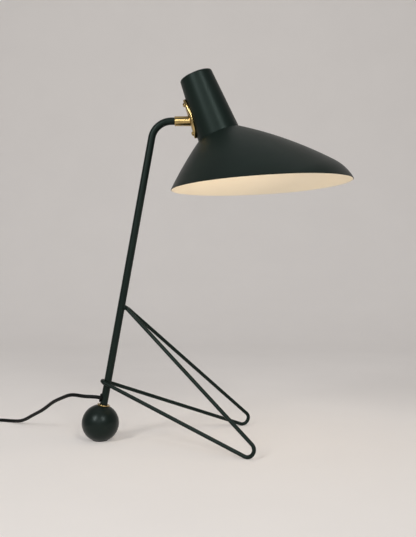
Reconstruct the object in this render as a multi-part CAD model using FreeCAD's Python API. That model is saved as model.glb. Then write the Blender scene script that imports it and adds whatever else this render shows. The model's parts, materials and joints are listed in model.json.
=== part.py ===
import FreeCAD, Part
import os
from math import asin, atan2, cos, degrees, hypot, pi, radians, sin, sqrt, tan
from FreeCAD import Placement, Rotation, Vector

# Tripod table lamp with a spun shade that turns at the end of its arm. Millimetres, degrees.
# Origin: centre of the ball foot's contact with the surface. +X runs from the stem to the shade, +Z up.

# ball foot
ball_radius = 25.0
ball_height = 23.5           # centre of the ball above the surface
pad_thickness = 1.0          # felt under the ball
pad_inset = 1.0              # the felt stops short of the ball's flat
collar_radius = 7.5
collar_thickness = 2.0
collar_edge = 0.6

# stem: a bent tube, leaning towards the shade
stem_radius = 5.0
stem_wall = 1.0
stem_lean = 10.235
arm_height = 430.3           # axis of the level arm
bend_radius = 27.0
arm_length = 31.55           # from the bend's corner to the tube's end, inside the ferrule
stem_sink = 10.0             # tube end above the ball's centre, along the stem
plug_length = 10.0           # threaded plug in the tube's lower end
plug_cap = 1.0               # its closed end
screw_radius = 2.5           # foot screw, from below
screw_clearance = 0.2
foot_head_radius = 4.25
foot_head_height = 5.0
foot_head_place = -12.0      # underside of the head's seat, along the stem from the ball's centre
foot_socket_flats = 4.3

# legs: one closed wire, bent round the stem and into two feet
wire_radius = 2.5
wrap_height = 77.2           # where the wrap's plane crosses the stem's axis
wrap_gap = 0.2
leg_top_height = 180.0       # middle of the upper bend
leg_top_bend = 6.2
foot_reach = 233.5           # corner of the foot bend before rounding
foot_spread = 118.2
foot_bend = 8.95
weld_radius = 3.4

# grommet and mains cord
cord_radius = 2.5
grommet_place = 33.4         # along the stem from the ball's centre
grommet_radius = 4.3
grommet_stand = 1.9          # flange proud of the tube
grommet_edge = 1.0
grommet_neck = 3.4
turn_distance = 5.5          # between neighbouring turns of the coil
coil_mean_radius = 30.0
coil_turns = 7
coil_lead = 5.0              # straight ends of the coil
tie_thickness = 0.8
tie_width = 9.0
tie_gap = 0.1
tie_angles = (75, 285)
coil_sides = 8               # the put-away coil's cord is faceted

# swivel between the arm and the shade
spindle_bore = 5.4
spindle_insert = 8.0         # length inside the tube
spindle_out = 13.4           # length beyond the tube
turn_gap = 0.12              # running clearance of the swivel
ferrule_radius = 6.6
ferrule_lap = 4.6            # over the end of the tube
ferrule_chamfer = 0.5
ferrule_play = 0.3           # past the end of the tube
swivel_half_range = 90.0
groove_depth = 1.0
groove_out = 6.0             # the groove's middle beyond the tube
pad_radius = 1.2             # nylon tip of the friction screw
grub_radius = 2.0
grub_sink = 0.3

# neck of the shade, a tapered cap on the shade's own axis
neck_reach = 54.3            # the neck's foot, on the axis, beyond the tube's end
neck_drop = 16.8             # and under the arm's axis
neck_lean = 21.42            # the axis leans back from the vertical
neck_length = 84.7
neck_base_radius = 29.0
neck_taper = 4.42
neck_corner = 3.0
neck_stock = 3.0             # below the neck's foot, cut to the bell's face
sheet = 1.0                  # spun sheet of the neck and the bell
vent_count = 8
vent_radius = 2.0
vent_circle = 13.0

# bell of the shade, cut off by a nearly level plane
flare_angle = 55.3           # between the wall and the axis where the bell starts
flare_radius = 533.0
flare_sweep = 14.9
skirt_radius = 60.3
skirt_sweep = 38.0
bell_depth = 76.9            # neck's foot to the rim's plane, along the axis
rim_tilt = 3.14              # the rim rises towards the front
collar_rise = 6.0            # the bell's collar inside the neck

# back plate with its two screws
plate_thickness = 3.8
plate_length = 54.5
plate_width = 29.0
plate_rise = 3.6             # centre of the plate above the arm's axis, along the neck
plate_edge = 0.8
screw_spacing = 40.3
plate_screw_radius = 2.0
head_radius = 3.2
head_height = 2.3
slot_width = 0.9
slot_depth = 0.8
nut_flats = 7.0
nut_height = 3.2
screw_end = 0.8              # past the nut
head_stock = 1.0             # under the screw's seat, cut to the plate's face
head_rim = 0.2               # straight edge of the screw's head
nut_stock = 1.0              # on the nut, cut to the strap's face
drill_reach = 15.0           # half the length of a drill through the neck's wall

# lamp holder, on a strap behind the plate
strap_width = 16.0
strap_thickness = 1.5
strap_gap = 1.0              # above the bell's collar
strap_margin = 2.0           # past the nipple's nut
tab_gap = 0.8                # between the upper nut and the strap's tab
nipple_radius = 5.0
nipple_bore = 3.4
nipple_rise = 5.0            # above the strap
nipple_below = 3.0           # under the holder's roof
nipple_nut_flats = 14.0
nipple_nut_height = 3.0
holder_radius = 14.0
holder_wall = 1.6
holder_foot = 10.0           # lower edge of the holder on the axis
holder_cap_height = 13.0
holder_cap_roof = 6.0
holder_cap_edge = 4.2
flute_count = 16             # finger grip round the holder
flute_radius = 1.6
flute_depth = 0.45
flute_end = 3.0              # from the holder's lower edge to the flutes
sleeve_radius = 7.9
sleeve_wall = 0.5
sleeve_length = 19.0
sleeve_recess = 2.0
contact_height = 2.0
insert_height = 5.0
contact_radius = 2.5

# bulb
bulb_radius = 22.5
bulb_length = 78.0
cap_radius = 6.9
cap_length = 19.0
bulb_tip_radius = 3.5
bulb_tip_height = 2.2
glass_wall = 0.9
bulb_join = 38.0             # where the globe's curve runs into its neck
glass_neck_radius = 8.5

# flex inside
flex_turn = 2.6              # where the cord turns up the stem behind the grommet
flex_radius = 2.0
flex_hole_radius = 3.0

# inline switch
switch_length = 62.0
switch_width = 27.0
switch_height = 19.0
switch_corner = 6.0
switch_edge = 3.0
switch_wall = 2.0
switch_split = 9.0           # joint of base and cover above the surface
switch_entry = 7.0           # height of the cord where it enters
gland_length = 20.0
gland_radius = 4.3
gland_lip = 1.5              # behind the switch's wall
gland_groove_count = 4
boot_wall = 0.7              # of a strain relief at its thin end
groove_width = 1.2           # round a strain relief
boot_groove_depth = 0.45
rocker_length = 17.0
rocker_width = 10.0
rocker_gap = 0.5
rocker_throw = 16.0
rocker_dip = 7.5             # pivot below the top of the switch
rocker_arm = 8.6             # pivot to the rocker's ridge
rocker_pin_radius = 1.5
rocker_ridge = 1.0           # the ridge is this much lower than the arm
rocker_skirt = 3.2           # lower edge of the rocker under its pivot
rocker_toe = 2.5             # half of that edge
rocker_draft = 2.0           # the rocker's ends slope in
lug_thickness = 2.0
lug_reach = 3.0              # round the rocker's pin
pin_play = 0.2               # at the pin's ends
switch_screw_radius = 1.5
switch_head_radius = 2.2
switch_head_height = 1.5
switch_head_sink = 0.5
switch_post_radius = 2.8
switch_post_bore = 5.0       # the screw's depth in the cover
switch_screw_inset = 9.0
switch_screw_side = 5.4
core_length = 30.0
core_width = 14.0
core_top = 7.3

# two-pin plug
plug_width = 35.3
plug_thickness = 13.7
plug_depth = 24.0
plug_boot_length = 22.0
plug_boot_radius = 4.6
plug_boot_groove_count = 4
plug_back = 6.6              # half the width where the boot starts
plug_shoulder = 13.2         # from there to the full width
plug_corner = 3.0
pin_radius = 2.0
pin_spacing = 18.6
pin_length = 19.0
pin_sleeve_length = 10.0
pin_sleeve_wall = 0.25
pin_root = 5.0               # length held in the body
pin_round = 1.2
pin_lap = 1.0                # the core's end in the bare tip

same_point = 0.01            # closer than this is the same place
full_turn = 360

X = Vector(1, 0, 0)
Y = Vector(0, 1, 0)
Z = Vector(0, 0, 1)

stem_dir = Vector(sin(radians(stem_lean)), 0, cos(radians(stem_lean)))
stem_back = Vector(-stem_dir.z, 0, stem_dir.x)
ball_centre = Vector(0, 0, ball_height)


def on_stem(distance):
    """Point on the stem's axis at a distance from the ball's centre."""
    return ball_centre + stem_dir * distance


def stem_at_height(z):
    return on_stem((z - ball_height) / stem_dir.z)


arm_end = stem_at_height(arm_height).x + arm_length
spindle_end = arm_end + spindle_out
ferrule_start = arm_end - ferrule_lap
groove_place = arm_end + groove_out
neck_base = Vector(arm_end + neck_reach, 0, arm_height - neck_drop)


def cylinder(radius, start, direction, length):
    return Part.makeCylinder(radius, length, start, direction)


def ring(outer, inner, start, direction, length):
    return cylinder(outer, start, direction, length).cut(cylinder(inner, start, direction, length))


def hex_prism(flats, start, direction, length):
    shape = Part.Face(Part.makePolygon([
        Vector(flats / sqrt(3) * cos(i * pi / 3), flats / sqrt(3) * sin(i * pi / 3), 0)
        for i in range(7)])).extrude(Vector(0, 0, length))
    shape.Placement = Placement(start, Rotation(Z, direction))
    return shape


def revolved(profile, place=Placement()):
    """Solid of revolution about Z from edges in the XZ plane."""
    solid = Part.Face(Part.Wire(profile)).revolve(Vector(), Z, full_turn)
    solid.Placement = place
    return solid


def rounded_path(points, radius_at, closed=False):
    """Straight runs joined by tangent arcs. radius_at(shorter run, half turn, index) is each arc's radius."""
    count = len(points)
    ends = {}
    edges = []
    radii = []
    corners = range(count) if closed else range(1, count - 1)
    for i in corners:
        before, here, after = points[i - 1], points[i], points[(i + 1) % count]
        into = here - before
        out = after - here
        half = into.getAngle(out) / 2
        shorter = min(into.Length, out.Length)
        into.normalize()
        out.normalize()
        radius = radius_at(shorter, half, i)
        reach = radius * tan(half)
        first = here - into * reach
        last = here + out * reach
        inward = out - into
        inward.normalize()
        middle = here + inward * (radius / cos(half) - radius)
        ends[i] = (first, middle, last)
        radii.append(radius)
    order = list(corners)
    start = ends[order[-1]][2] if closed else points[0]
    for i in order:
        first, middle, last = ends[i]
        edges.append(Part.LineSegment(start, first).toShape())
        edges.append(Part.Arc(first, middle, last).toShape())
        start = last
    if not closed:
        edges.append(Part.LineSegment(start, points[-1]).toShape())
    return Part.Wire(edges), radii


def sweep(path, radius, sides=0):
    """Round bar along a path, or a faceted one."""
    edge = path.OrderedEdges[0]
    place = Placement(edge.valueAt(edge.FirstParameter), Rotation(Z, edge.tangentAt(edge.FirstParameter)))
    if sides:
        section = Part.makePolygon([
            Vector(radius * cos((2 * i + 1) * pi / sides), radius * sin((2 * i + 1) * pi / sides), 0)
            for i in range(sides + 1)])
    else:
        section = Part.Wire([Part.makeCircle(radius)])
    section.Placement = place
    return path.makePipeShell([section], True, False)


def loose(shorter, half, index):
    """Arc of a free cord: as large as its two runs allow."""
    return 0.45 * shorter / tan(half)


def cord_tube(name, points, radius=cord_radius):
    path, radii = rounded_path(points, loose)
    solid = sweep(path, radius)
    runs = [(b - a).Length for a, b in zip(points, points[1:])]
    share = solid.Volume / (pi * radius ** 2 * path.Length)
    print(f"{name}: length {path.Length:.1f}, runs {min(runs):.1f}-{max(runs):.1f}, "
          f"least radius {min(radii):.1f}, volume share {share:.4f}")
    return solid, path.Length


def box_between(low, high):
    return Part.makeBox(high.x - low.x, high.y - low.y, high.z - low.z, low)


def rims_at(shape, centre):
    """Edges centred on a point."""
    return [e for e in shape.Edges if e.CenterOfMass.distanceToPoint(centre) < same_point]


def joined(shapes):
    """Touching or overlapping solids as one."""
    return shapes[0].fuse(shapes[1:]).removeSplitter()


# ---- ball foot and stem ----

def ball_flat_radius():
    return sqrt(ball_radius ** 2 - (ball_height - pad_thickness) ** 2)


collar_seat = sqrt(ball_radius ** 2 - collar_radius ** 2)      # flat under the collar, along the stem


def foot_ball():
    ball = Part.makeSphere(ball_radius, ball_centre)
    reach = 2 * ball_radius
    below = box_between(Vector(-reach, -reach, -reach), Vector(reach, reach, pad_thickness))
    above = cylinder(ball_radius, on_stem(collar_seat), stem_dir, ball_radius)
    ball = ball.cut(below).cut(above)
    ball = ball.cut(cylinder(stem_radius, on_stem(stem_sink), stem_dir, ball_radius))
    shank = cylinder(screw_radius + screw_clearance, on_stem(foot_head_place), stem_dir, ball_radius)
    head = cylinder(foot_head_radius + screw_clearance, on_stem(foot_head_place), stem_dir * -1, ball_radius)
    return ball.cut(shank).cut(head)


def foot_pad():
    return cylinder(ball_flat_radius() - pad_inset, Vector(), Z, pad_thickness)


def ball_collar():
    collar = ring(collar_radius, stem_radius, on_stem(collar_seat), stem_dir, collar_thickness)
    rims = [e for e in collar.Edges if getattr(e.Curve, "Radius", 0) > stem_radius + collar_edge]
    return collar.makeFillet(collar_edge, rims)


def stem_plug():
    plug = cylinder(stem_radius - stem_wall, on_stem(stem_sink), stem_dir, plug_length)
    return plug.cut(cylinder(screw_radius, on_stem(stem_sink), stem_dir, plug_length - plug_cap))


def foot_screw():
    seat = on_stem(foot_head_place)
    head = cylinder(foot_head_radius, seat, stem_dir * -1, foot_head_height)
    socket = hex_prism(foot_socket_flats, seat - stem_dir * foot_head_height, stem_dir, foot_head_height / 2)
    shank = cylinder(screw_radius, seat, stem_dir, stem_sink + plug_length - plug_cap - foot_head_place)
    return head.cut(socket).fuse(shank).removeSplitter()


def stem_path(start, end_x):
    points = [start, stem_at_height(arm_height), Vector(end_x, 0, arm_height)]
    return rounded_path(points, lambda shorter, half, i: bend_radius)[0]


grommet_dir = stem_back
grommet_root = on_stem(grommet_place)


def stem_tube():
    path = stem_path(on_stem(stem_sink), arm_end)
    tube = sweep(path, stem_radius).cut(sweep(path, stem_radius - stem_wall))
    return tube.cut(cylinder(grommet_neck, grommet_root, grommet_dir, 2 * stem_radius))


# ---- legs ----

def bend_angle(centre, corner, radius):
    """Half angle of the two wires that leave a bend of this centre towards mirrored corners."""
    reach = hypot(corner.x - centre.x, corner.z - centre.z)
    distance = hypot(reach, corner.y)
    return atan2(abs(corner.y), reach) - asin(radius / distance)


def wire_corner(centre, foot, radius):
    """Corner behind a bend round a centre on the mirror plane, for wires that run to the feet."""
    half = bend_angle(centre, foot, radius)
    towards = Vector(foot.x - centre.x, 0, foot.z - centre.z)
    towards.normalize()
    return centre - towards * (radius / sin(half))


wrap_radius = stem_radius + wire_radius + wrap_gap


def leg_corners(foot_z):
    foot = Vector(foot_reach, foot_spread, foot_z)
    wrap_centre = stem_at_height(wrap_height)
    lower = wire_corner(wrap_centre, foot, wrap_radius)
    # the upper bend's middle touches the front of the stem
    touch = stem_at_height(leg_top_height) - stem_back * (stem_radius + wire_radius)
    towards = Vector(foot.x - touch.x, 0, foot.z - touch.z)
    towards.normalize()
    upper = wire_corner(touch + towards * leg_top_bend, foot, leg_top_bend)
    return upper, lower, foot


def foot_low(foot_z):
    """Height of the lowest point of the foot bend's centre line."""
    upper, lower, foot = leg_corners(foot_z)
    up = upper - foot
    down = lower - foot
    up.normalize()
    down.normalize()
    half = up.getAngle(down) / 2
    bisector = up + down
    bisector.normalize()
    normal = up.cross(down)
    normal.normalize()
    centre = foot + bisector * (foot_bend / sin(half))
    return centre.z - foot_bend * sqrt(1 - normal.z ** 2)


def leg_points():
    foot_z = -foot_bend
    for _ in range(30):
        foot_z += wire_radius - foot_low(foot_z)
    upper, lower, foot = leg_corners(foot_z)
    other = Vector(foot.x, -foot.y, foot.z)
    return [upper, other, lower, foot]


def leg_frame():
    radii = (leg_top_bend, foot_bend, wrap_radius, foot_bend)
    path, _ = rounded_path(leg_points(), lambda shorter, half, i: radii[i], closed=True)
    solid = sweep(path, wire_radius)
    share = solid.Volume / (pi * wire_radius ** 2 * path.Length)
    print(f"leg_frame: wire {path.Length:.1f}, volume share {share:.4f}")
    return solid


def leg_welds(wire):
    """Braze at the upper bend and behind the wrap."""
    top = stem_at_height(leg_top_height) - stem_back * stem_radius
    behind = stem_at_height(wrap_height) + stem_back * stem_radius
    core = sweep(stem_path(on_stem(stem_sink), arm_end), stem_radius)
    beads = []
    for spot in (top, behind):
        bead = Part.makeSphere(weld_radius, spot)
        beads.append(bead.cut(core).cut(wire))
    return Part.makeCompound([max(bead.Solids, key=lambda s: s.Volume) for bead in beads])


# ---- cord ----

grommet_face = grommet_root + grommet_dir * (stem_radius + grommet_stand)


def cord_grommet():
    flange = cylinder(grommet_radius, grommet_root, grommet_dir, stem_radius + grommet_stand)
    flange = flange.makeFillet(grommet_edge, rims_at(flange, grommet_face))
    flange = flange.cut(cylinder(stem_radius, on_stem(0), stem_dir, 2 * grommet_place))
    inside = cylinder(stem_radius - stem_wall, on_stem(0), stem_dir, 2 * grommet_place)
    neck = cylinder(grommet_neck, grommet_root, grommet_dir, stem_radius).cut(inside)
    bush = flange.fuse(neck).removeSplitter()
    return bush.cut(cylinder(cord_radius, grommet_root, grommet_dir, 3 * stem_radius))


coil_start_angle = pi        # the coil's ends are on its far side from the lamp
coil_inner = coil_mean_radius - coil_turns * turn_distance / 4
coil_outer = coil_mean_radius + coil_turns * turn_distance / 4
switch_x = -214.5
switch_middle = 14.0
switch_near = switch_middle - switch_length / 2 - gland_length
switch_far = switch_middle + switch_length / 2 + gland_length
coil_centre = Vector(switch_x + coil_outer, -74.0, tie_thickness + cord_radius)

# from the grommet to the inline switch
lead_points = [
    grommet_face,
    grommet_face + grommet_dir * 11.0,
    Vector(-27.0, 3.0, 57.1),
    Vector(-43.0, 12.0, 58.0),
    Vector(-58.0, 26.0, 53.5),
    Vector(-74.0, 43.0, 45.3),
    Vector(-92.0, 61.0, 30.4),
    Vector(-111.0, 80.0, 20.1),
    Vector(-132.0, 99.0, 7.1),
    Vector(-150.7, 114.1, 2.5),
    Vector(-172.0, 121.5, 2.5),
    Vector(-190.0, 119.5, 2.5),
    Vector(-204.5, 110.5, 3.2),
    Vector(-212.5, 95.5, 4.6),
    Vector(switch_x, switch_far + 14.0, switch_entry),
    Vector(switch_x, switch_far, switch_entry),
]

# from the switch to the coil
link_points = [
    Vector(switch_x, switch_near, switch_entry),
    Vector(switch_x, switch_near - 10.0, switch_entry),
    Vector(switch_x, coil_centre.y + coil_lead + 10.0, coil_centre.z),
    Vector(switch_x, coil_centre.y + coil_lead, coil_centre.z),
]

plug_face = Vector(switch_x, -110.0, plug_thickness / 2)


def coil_point(angle):
    """Centre line of the coil: in by a steady spiral, up a layer as it reverses, and out again."""
    half = coil_turns * pi
    steps = abs(angle - half) / (2 * pi)
    soft = 1 / 8                                     # share of a turn over which the spiral reverses
    if steps < soft:
        steps = (steps ** 2 + soft ** 2) / (2 * soft)
    radius = coil_inner + turn_distance * steps
    rise = min(max((angle - half) / pi + 0.5, 0.0), 1.0)
    height = turn_distance * rise * rise * (3 - 2 * rise)
    around = coil_start_angle + angle
    return coil_centre + Vector(radius * cos(around), radius * sin(around), height)


def coil_tangent(angle):
    step = 1e-4
    direction = coil_point(angle + step) - coil_point(angle - step)
    direction.normalize()
    return direction


def arc_between(start, tangent, end):
    """Arc from start, along tangent, to end."""
    chord = end - start
    side = chord - tangent * chord.dot(tangent)
    if side.Length < 1e-7:
        return Part.LineSegment(start, end).toShape()
    side.normalize()
    radius = chord.dot(chord) / (2 * chord.dot(side))
    centre = start + side * radius
    toward = (start + end) * 0.5 - centre
    toward.normalize()
    return Part.Arc(start, centre + toward * radius, end).toShape()


def biarc(start, start_dir, end, end_dir):
    """Two arcs, tangent to each other and to the given directions."""
    gap = end - start
    both = start_dir + end_dir
    bend = 2 * (1 - start_dir.dot(end_dir))
    along = gap.dot(both)
    reach = (-along + sqrt(along ** 2 + bend * gap.dot(gap))) / bend
    knot = (start + end + (start_dir - end_dir) * reach) * 0.5
    back = arc_between(end, end_dir * -1, knot)
    first = arc_between(start, start_dir, knot)
    middle = back.valueAt((back.FirstParameter + back.LastParameter) / 2)
    return [first, Part.Arc(knot, middle, end).toShape()]


def cord_coil():
    quarter = pi / 2
    edges = []
    for i in range(4 * coil_turns):
        a, b = coil_point(i * quarter), coil_point((i + 1) * quarter)
        ta, tb = coil_tangent(i * quarter), coil_tangent((i + 1) * quarter)
        if i == 0:
            ta = Y * -1
            edges.append(Part.LineSegment(a - ta * coil_lead, a).toShape())
        if i == 4 * coil_turns - 1:
            tb = Y * -1
        edges += biarc(a, ta, b, tb)
    end = coil_point(2 * pi * coil_turns)
    edges.append(Part.LineSegment(end, end - Y * coil_lead).toShape())
    path = Part.Wire(edges)
    solid = sweep(path, cord_radius, coil_sides)
    print_coil_gap()
    section = coil_sides / 2 * sin(2 * pi / coil_sides) * cord_radius ** 2
    print(f"cord_coil: length {path.Length:.1f}, turns {coil_turns}, inner radius {coil_inner:.1f}, "
          f"outer radius {coil_outer:.1f}, volume share {solid.Volume / (section * path.Length):.4f}")
    return solid, path.Length


def print_coil_gap():
    """Least gap between turns, on points along the centre line."""
    steps = 48 * coil_turns
    points = [coil_point(2 * pi * coil_turns * i / steps) for i in range(steps + 1)]
    least = min((points[i] - points[j]).Length
                for i in range(len(points)) for j in range(i + 16, len(points)))
    print(f"cord_coil: least gap between turns {least - 2 * cord_radius:.2f}")


def coil_ties():
    """Two bands round the bundle of turns."""
    ties = []
    inner = Vector(coil_inner - cord_radius - tie_gap - tie_thickness, 0, 0)
    outer = coil_outer + cord_radius + tie_gap + tie_thickness
    top = 2 * cord_radius + turn_distance + 2 * tie_thickness + tie_gap
    for angle in tie_angles:
        band = box_between(Vector(inner.x, -tie_width / 2, 0), Vector(outer, tie_width / 2, top))
        hollow = box_between(Vector(inner.x + tie_thickness, -tie_width, tie_thickness),
                             Vector(outer - tie_thickness, tie_width, top - tie_thickness))
        rounding = [e for e in band.Edges if abs(e.Length - tie_width) < 1e-6]
        band = band.makeFillet(cord_radius, rounding)
        rounding = [e for e in hollow.Edges if abs(e.Length - 2 * tie_width) < 1e-6]
        hollow = hollow.makeFillet(cord_radius - tie_thickness, rounding)
        band = band.cut(hollow)
        band.Placement = Placement(Vector(coil_centre.x, coil_centre.y, 0), Rotation(Z, angle))
        ties.append(band)
    return Part.makeCompound(ties)


# ---- swivel ----

arm_dir = X
spindle_radius = stem_radius - stem_wall
ferrule_bore = spindle_radius + turn_gap
tube_recess = stem_radius + turn_gap


def on_arm(x):
    return Vector(x, 0, arm_height)


def swivel_spindle():
    start = arm_end - spindle_insert
    spindle = ring(spindle_radius, spindle_bore / 2, on_arm(start), arm_dir, spindle_end - start)
    width = 2 * (pad_radius + turn_gap)
    bottom = spindle_radius - groove_depth
    groove = ring(stem_radius, bottom, on_arm(groove_place - width / 2), arm_dir, width)
    half = swivel_half_range + degrees(asin(width / 2 / bottom))
    # the part of the circle that stays solid and stops the pad, on top
    stop = full_turn - 2 * half
    wedge = Part.Face(Part.makePolygon([
        Vector(), Vector(0, 2 * stem_radius * tan(radians(stop / 2)), 2 * stem_radius),
        Vector(0, -2 * stem_radius * tan(radians(stop / 2)), 2 * stem_radius), Vector()]))
    wedge = wedge.extrude(X * width)
    wedge.translate(on_arm(groove_place - width / 2))
    return spindle.cut(groove.cut(wedge))


def swivel_ferrule():
    start = on_arm(ferrule_start)
    length = neck_base.x - ferrule_start
    body = cylinder(ferrule_radius, start, arm_dir, length)
    body = body.makeChamfer(ferrule_chamfer, rims_at(body, start))
    body = body.cut(neck_cone(plate_thickness))
    body = body.cut(cylinder(ferrule_bore, start, arm_dir, length))
    body = body.cut(cylinder(tube_recess, start, arm_dir, ferrule_lap + ferrule_play))
    return body.cut(cylinder(grub_radius, on_arm(groove_place), Z * -1, 2 * ferrule_radius))


def friction_screw():
    top = on_arm(groove_place) - Z * ferrule_bore
    screw = cylinder(grub_radius, top, Z * -1, ferrule_radius - grub_sink - ferrule_bore)
    end = on_arm(groove_place) - Z * (ferrule_radius - grub_sink)
    return screw.cut(hex_prism(grub_radius, end, Z, grub_radius / 2))


def friction_pad():
    tip = on_arm(groove_place) - Z * (spindle_radius - groove_depth + turn_gap / 2)
    return cylinder(pad_radius, tip, Z * -1, ferrule_bore - (spindle_radius - groove_depth + turn_gap / 2))


# ---- shade ----

shade_place = Placement(neck_base, Rotation(Y, -neck_lean))
taper = tan(radians(neck_taper))
neck_top_radius = neck_base_radius - neck_length * taper
skin = sheet / cos(radians(neck_taper))        # the neck's wall, measured across the axis


def shade_point(x, y, z):
    return shade_place.multVec(Vector(x, y, z))


def shade_vector(x, y, z):
    return shade_place.Rotation.multVec(Vector(x, y, z))


axis_up = shade_vector(0, 0, 1)


def neck_cone(offset, low=-20.0, high=None):
    """Solid cone of the neck's outside, moved out by an offset square to its wall."""
    high = neck_length if high is None else high
    grow = offset / cos(radians(neck_taper))
    cone = Part.makeCone(neck_base_radius - low * taper + grow, neck_base_radius - high * taper + grow,
                         high - low, Vector(0, 0, low))
    cone.Placement = shade_place
    return cone


def rounded_cone(offset, low, high, corner):
    cone = neck_cone(offset, low, high)
    return cone.makeFillet(corner, rims_at(cone, shade_point(0, 0, high)))


# centre of the back plate: on the rear of the neck, a little above the arm's axis
lean_sin = sin(radians(neck_lean))
lean_cos = cos(radians(neck_lean))
meet_back = (neck_base_radius + neck_drop * (lean_sin - taper * lean_cos)) / (lean_cos + taper * lean_sin)
meet_point = Vector(neck_base.x - meet_back, 0, arm_height)
plate_up = shade_vector(sin(radians(neck_taper)), 0, cos(radians(neck_taper)))
plate_out = shade_vector(-cos(radians(neck_taper)), 0, sin(radians(neck_taper)))
plate_centre = meet_point + plate_up * plate_rise
plate_place = Placement(plate_centre, Rotation(plate_up, plate_out.cross(plate_up), plate_out, "ZXY"))
screw_spots = [plate_centre + plate_up * (side * screw_spacing / 2) for side in (1, -1)]


def plate_outline(length, width, depth):
    """Oval prism through the wall, on the plate's own axes."""
    oval = Part.Ellipse(Vector(), length / 2, width / 2).toShape()
    prism = Part.Face(Part.Wire([oval])).extrude(Z * (2 * depth))
    prism.translate(Z * -depth)
    prism.Placement = plate_place.multiply(prism.Placement)
    return prism


def screw_holes():
    radius = plate_screw_radius + screw_clearance
    return [cylinder(radius, spot - plate_out * drill_reach, plate_out, 2 * drill_reach)
            for spot in screw_spots]


def flex_hole():
    """Drill for the flex, along the arm to the neck's axis."""
    return cylinder(flex_hole_radius, on_arm(arm_end), arm_dir, neck_reach)


def back_plate():
    plate = neck_cone(plate_thickness).cut(neck_cone(0)).common(
        plate_outline(plate_length, plate_width, plate_thickness * 4))
    plate = max(plate.Solids, key=lambda s: s.Volume)
    far = plate_centre + plate_out * plate_thickness
    outlines = [e for e in plate.Edges if e.Length > plate_length]
    outer = min(outlines, key=lambda e: e.CenterOfMass.distanceToPoint(far))
    plate = plate.makeFillet(plate_edge, [outer])
    for hole in screw_holes():
        plate = plate.cut(hole)
    return plate.cut(flex_hole())


def plate_screws():
    screws = []
    cone = neck_cone(plate_thickness)
    length = plate_thickness + sheet + strap_thickness + nut_height + screw_end
    dome_radius = (head_radius ** 2 + head_height ** 2) / (2 * head_height)
    across = plate_out.cross(plate_up)
    for spot in screw_spots:
        seat = spot + plate_out * plate_thickness
        under = seat - plate_out * head_stock
        dome = Part.makeSphere(dome_radius, seat + plate_out * (head_height - dome_radius))
        rod = cylinder(head_radius, under, plate_out, 2 * head_height)
        head = dome.common(rod).fuse(cylinder(head_radius, under, plate_out, head_stock + head_rim))
        head = head.cut(cone)
        slot = Part.makeBox(slot_width, 4 * head_radius, 2 * slot_depth)
        slot.Placement = Placement(seat + plate_out * (head_height - slot_depth) - plate_up * (slot_width / 2)
                                   - across * (2 * head_radius),
                                   Rotation(plate_up, across, plate_out, "ZXY"))
        inside = head_height / 2
        shank = cylinder(plate_screw_radius, seat + plate_out * inside, plate_out * -1, length + inside)
        screws.append(joined([head.cut(slot), shank]))
    return Part.makeCompound(screws)


def plate_nuts():
    nuts = []
    inside = neck_cone(-sheet - strap_thickness)
    for spot in screw_spots:
        start = spot - plate_out * (sheet + strap_thickness - nut_stock)
        nut = hex_prism(nut_flats, start, plate_out * -1, nut_height + nut_stock)
        nut = nut.cut(cylinder(plate_screw_radius, start, plate_out * -1, nut_height + nut_stock))
        nuts.append(nut.common(inside))
    return Part.makeCompound([s for n in nuts for s in n.Solids])


def bell_profile(offset):
    """The flare and skirt arcs of the bell's wall, moved in by an offset. Returns edges and end points."""
    angle = radians(flare_angle)
    start = Vector(bell_mouth - offset * cos(angle), 0, -offset * sin(angle))
    edges = []
    ends = [start]
    for radius, swept in ((flare_radius - offset, flare_sweep), (skirt_radius - offset, skirt_sweep)):
        centre = start - Vector(radius * cos(angle), 0, radius * sin(angle))
        points = []
        for share in (0.5, 1.0):
            turned = angle - radians(swept) * share
            points.append(centre + Vector(radius * cos(turned), 0, radius * sin(turned)))
        edges.append(Part.Arc(start, points[0], points[1]).toShape())
        start = points[1]
        angle -= radians(swept)
        ends.append(start)
    return edges, ends


bell_mouth = neck_base_radius - skin


def bell_solid(thickness):
    outer, outer_ends = bell_profile(0)
    inner, inner_ends = bell_profile(thickness)
    top_out = Vector(bell_mouth - collar_rise * taper, 0, collar_rise)
    top_in = top_out - X * skin
    foot_in = Vector(bell_mouth - skin - inner_ends[0].z * taper, 0, inner_ends[0].z)
    lines = [(outer_ends[0], top_out), (top_out, top_in), (top_in, foot_in), (foot_in, inner_ends[0]),
             (inner_ends[-1], outer_ends[-1])]
    edges = outer + inner + [Part.LineSegment(a, b).toShape() for a, b in lines]
    return revolved(Part.__sortEdges__(edges), shade_place)


def bell_filled():
    """Everything within the bell's outer face, for seating the neck on it."""
    outer, ends = bell_profile(0)
    edges = outer + [
        Part.LineSegment(ends[-1], Vector(0, 0, ends[-1].z)).toShape(),
        Part.LineSegment(Vector(0, 0, ends[-1].z), Vector()).toShape(),
        Part.LineSegment(Vector(), ends[0]).toShape()]
    return revolved(Part.__sortEdges__(edges), shade_place)


def below_rim():
    """Half space under the rim's plane."""
    size = flare_radius
    block = Part.makeBox(size, size, size, Vector(-size / 2, -size / 2, -size))
    block.Placement = Placement(shade_point(0, 0, -bell_depth), Rotation(Y, -rim_tilt))
    return block


def shade_bell():
    return bell_solid(sheet).cut(below_rim())


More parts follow.
